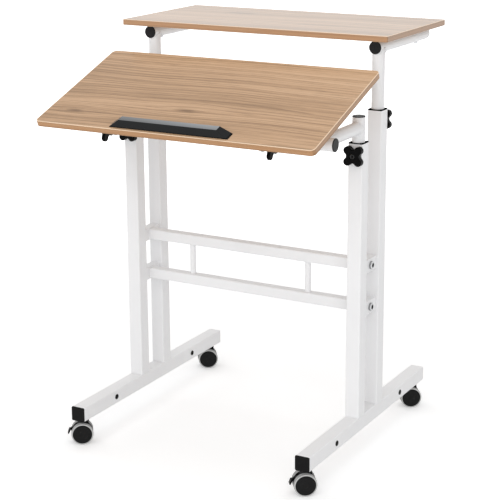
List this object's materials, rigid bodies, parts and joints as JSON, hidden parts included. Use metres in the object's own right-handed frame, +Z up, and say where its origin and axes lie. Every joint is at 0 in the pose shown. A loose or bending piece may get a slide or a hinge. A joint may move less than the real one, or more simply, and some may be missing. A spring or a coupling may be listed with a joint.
{
  "type": "rolling standing desk",
  "caption": "Rolling sit-stand desk with a tilting front desktop and a flat upper shelf, each on sliding tubes in a white square-tube frame with swivel casters.",
  "frame": {"origin": "on the floor, under the middle of the box round the desk as it stands in the picture", "axes": "+X to the user's right, +Y from the user to the back, +Z up"},
  "size_m": [0.6, 0.6012, 0.8422],
  "materials": {
    "white_paint": "satin powder coat",
    "wood_board": "satin wood-grain laminate",
    "black_plastic": "satin",
    "gloss_black": "gloss",
    "black_steel": "black paint",
    "zinc_steel": "zinc plated",
    "wheel_grey": "grey tread with a black cover"
  },
  "bodies": {
    "frame": {"left_foot": "white_paint", "right_foot": "white_paint", "left_front_post": "white_paint", "left_rear_post": "white_paint", "right_front_post": "white_paint", "right_rear_post": "white_paint", "upper_crossbar": "white_paint", "lower_crossbar": "white_paint", "crossbar_rods": "white_paint", "post_spacers": "white_paint", "crossbar_bolts": "zinc_steel", "foot_end_caps": "black_plastic", "foot_hole_plugs": "black_plastic", "post_bushes": "black_plastic", "knob_nuts": "zinc_steel", "caster_stems": "zinc_steel"},
    "shelf_lift": {"left_rear_riser": "white_paint", "right_rear_riser": "white_paint", "left_shelf_rail": "white_paint", "right_shelf_rail": "white_paint", "shelf_rail_caps": "black_plastic", "upper_shelf": "wood_board", "shelf_screws": "zinc_steel"},
    "desk_lift": {"left_front_riser": "white_paint", "right_front_riser": "white_paint", "left_arm": "white_paint", "right_arm": "white_paint", "cross_tube": "white_paint", "lift_tube_caps": "black_plastic", "hinge_tabs": "white_paint", "hinge_bolts": "zinc_steel"},
    "desktop": {"desktop_board": "wood_board", "left_tilt_bracket": "black_steel", "right_tilt_bracket": "black_steel", "desktop_screws": "zinc_steel", "book_stop": "gloss_black"},
    "left_front_knob": {"left_front_knob": "black_plastic"},
    "left_rear_knob": {"left_rear_knob": "black_plastic"},
    "right_front_knob": {"right_front_knob": "black_plastic"},
    "right_rear_knob": {"right_rear_knob": "black_plastic"},
    "left_tilt_knob": {"left_tilt_knob": "black_plastic"},
    "right_tilt_knob": {"right_tilt_knob": "black_plastic"},
    "front_left_caster": {"front_left_caster_housing": "black_plastic", "front_left_caster_axle": "zinc_steel"},
    "front_left_wheel_a": {"front_left_wheel_a": "wheel_grey"},
    "front_left_wheel_b": {"front_left_wheel_b": "wheel_grey"},
    "front_left_brake_lever": {"front_left_brake_lever": "black_plastic"},
    "front_right_caster": {"front_right_caster_housing": "black_plastic", "front_right_caster_axle": "zinc_steel"},
    "front_right_wheel_a": {"front_right_wheel_a": "wheel_grey"},
    "front_right_wheel_b": {"front_right_wheel_b": "wheel_grey"},
    "front_right_brake_lever": {"front_right_brake_lever": "black_plastic"},
    "rear_left_caster": {"rear_left_caster_housing": "black_plastic", "rear_left_caster_axle": "zinc_steel"},
    "rear_left_wheel_a": {"rear_left_wheel_a": "wheel_grey"},
    "rear_left_wheel_b": {"rear_left_wheel_b": "wheel_grey"},
    "rear_right_caster": {"rear_right_caster_housing": "black_plastic", "rear_right_caster_axle": "zinc_steel"},
    "rear_right_wheel_a": {"rear_right_wheel_a": "wheel_grey"},
    "rear_right_wheel_b": {"rear_right_wheel_b": "wheel_grey"}
  },
  "joints": [
    {"name": "shelf_height", "type": "slide", "parent": "frame", "child": "shelf_lift", "axis": [0, 0, 1], "range_m": [-0.105, 0.35]},
    {"name": "desk_height", "type": "slide", "parent": "frame", "child": "desk_lift", "axis": [0, 0, 1], "range_m": [-0.012, 0.4]},
    {"name": "desk_tilt", "type": "hinge", "parent": "desk_lift", "child": "desktop", "pos_m": [0, -0.23208, 0.66211], "axis": [1, 0, 0], "range_deg": [-19.3, 40]},
    {"name": "left_front_knob_turn", "type": "hinge", "parent": "frame", "child": "left_front_knob", "pos_m": [-0.2565, -0.03789, 0.61801], "axis": [0, -1, 0], "range_deg": [0, 720]},
    {"name": "left_rear_knob_turn", "type": "hinge", "parent": "frame", "child": "left_rear_knob", "pos_m": [-0.2565, 0.07911, 0.6682], "axis": [0, 1, 0], "range_deg": [0, 720]},
    {"name": "right_front_knob_turn", "type": "hinge", "parent": "frame", "child": "right_front_knob", "pos_m": [0.2565, -0.03789, 0.61801], "axis": [0, -1, 0], "range_deg": [0, 720]},
    {"name": "right_rear_knob_turn", "type": "hinge", "parent": "frame", "child": "right_rear_knob", "pos_m": [0.2565, 0.07911, 0.6682], "axis": [0, 1, 0], "range_deg": [0, 720]},
    {"name": "left_tilt_knob_turn", "type": "hinge", "parent": "desk_lift", "child": "left_tilt_knob", "pos_m": [-0.1656, -0.23208, 0.66211], "axis": [-1, 0, 0], "range_deg": [0, 720]},
    {"name": "right_tilt_knob_turn", "type": "hinge", "parent": "desk_lift", "child": "right_tilt_knob", "pos_m": [0.1656, -0.23208, 0.66211], "axis": [1, 0, 0], "range_deg": [0, 720]},
    {"name": "front_left_swivel", "type": "hinge", "parent": "frame", "child": "front_left_caster", "pos_m": [-0.2565, -0.23239, 0.04], "axis": [0, 0, 1], "continuous": true},
    {"name": "front_left_wheel_a_roll", "type": "hinge", "parent": "front_left_caster", "child": "front_left_wheel_a", "pos_m": [-0.26095, -0.23562, 0.0226], "axis": [0.5878, -0.809, 0], "continuous": true},
    {"name": "front_left_wheel_b_roll", "type": "hinge", "parent": "front_left_caster", "child": "front_left_wheel_b", "pos_m": [-0.26095, -0.23562, 0.0226], "axis": [0.5878, -0.809, 0], "continuous": true},
    {"name": "front_left_brake", "type": "hinge", "parent": "front_left_caster", "child": "front_left_brake_lever", "pos_m": [-0.2726, -0.24409, 0.0336], "axis": [0.5878, -0.809, 0], "range_deg": [0, 15]},
    {"name": "front_right_swivel", "type": "hinge", "parent": "frame", "child": "front_right_caster", "pos_m": [0.2565, -0.23239, 0.04], "axis": [0, 0, 1], "continuous": true},
    {"name": "front_right_wheel_a_roll", "type": "hinge", "parent": "front_right_caster", "child": "front_right_wheel_a", "pos_m": [0.25205, -0.23562, 0.0226], "axis": [0.5878, -0.809, 0], "continuous": true},
    {"name": "front_right_wheel_b_roll", "type": "hinge", "parent": "front_right_caster", "child": "front_right_wheel_b", "pos_m": [0.25205, -0.23562, 0.0226], "axis": [0.5878, -0.809, 0], "continuous": true},
    {"name": "front_right_brake", "type": "hinge", "parent": "front_right_caster", "child": "front_right_brake_lever", "pos_m": [0.2404, -0.24409, 0.0336], "axis": [0.5878, -0.809, 0], "range_deg": [0, 15]},
    {"name": "rear_left_swivel", "type": "hinge", "parent": "frame", "child": "rear_left_caster", "pos_m": [-0.2565, 0.27361, 0.04], "axis": [0, 0, 1], "continuous": true},
    {"name": "rear_left_wheel_a_roll", "type": "hinge", "parent": "rear_left_caster", "child": "rear_left_wheel_a", "pos_m": [-0.26095, 0.27038, 0.0226], "axis": [0.5878, -0.809, 0], "continuous": true},
    {"name": "rear_left_wheel_b_roll", "type": "hinge", "parent": "rear_left_caster", "child": "rear_left_wheel_b", "pos_m": [-0.26095, 0.27038, 0.0226], "axis": [0.5878, -0.809, 0], "continuous": true},
    {"name": "rear_right_swivel", "type": "hinge", "parent": "frame", "child": "rear_right_caster", "pos_m": [0.2565, 0.27361, 0.04], "axis": [0, 0, 1], "continuous": true},
    {"name": "rear_right_wheel_a_roll", "type": "hinge", "parent": "rear_right_caster", "child": "rear_right_wheel_a", "pos_m": [0.25205, 0.27038, 0.0226], "axis": [0.5878, -0.809, 0], "continuous": true},
    {"name": "rear_right_wheel_b_roll", "type": "hinge", "parent": "rear_right_caster", "child": "rear_right_wheel_b", "pos_m": [0.25205, 0.27038, 0.0226], "axis": [0.5878, -0.809, 0], "continuous": true}
  ]
}
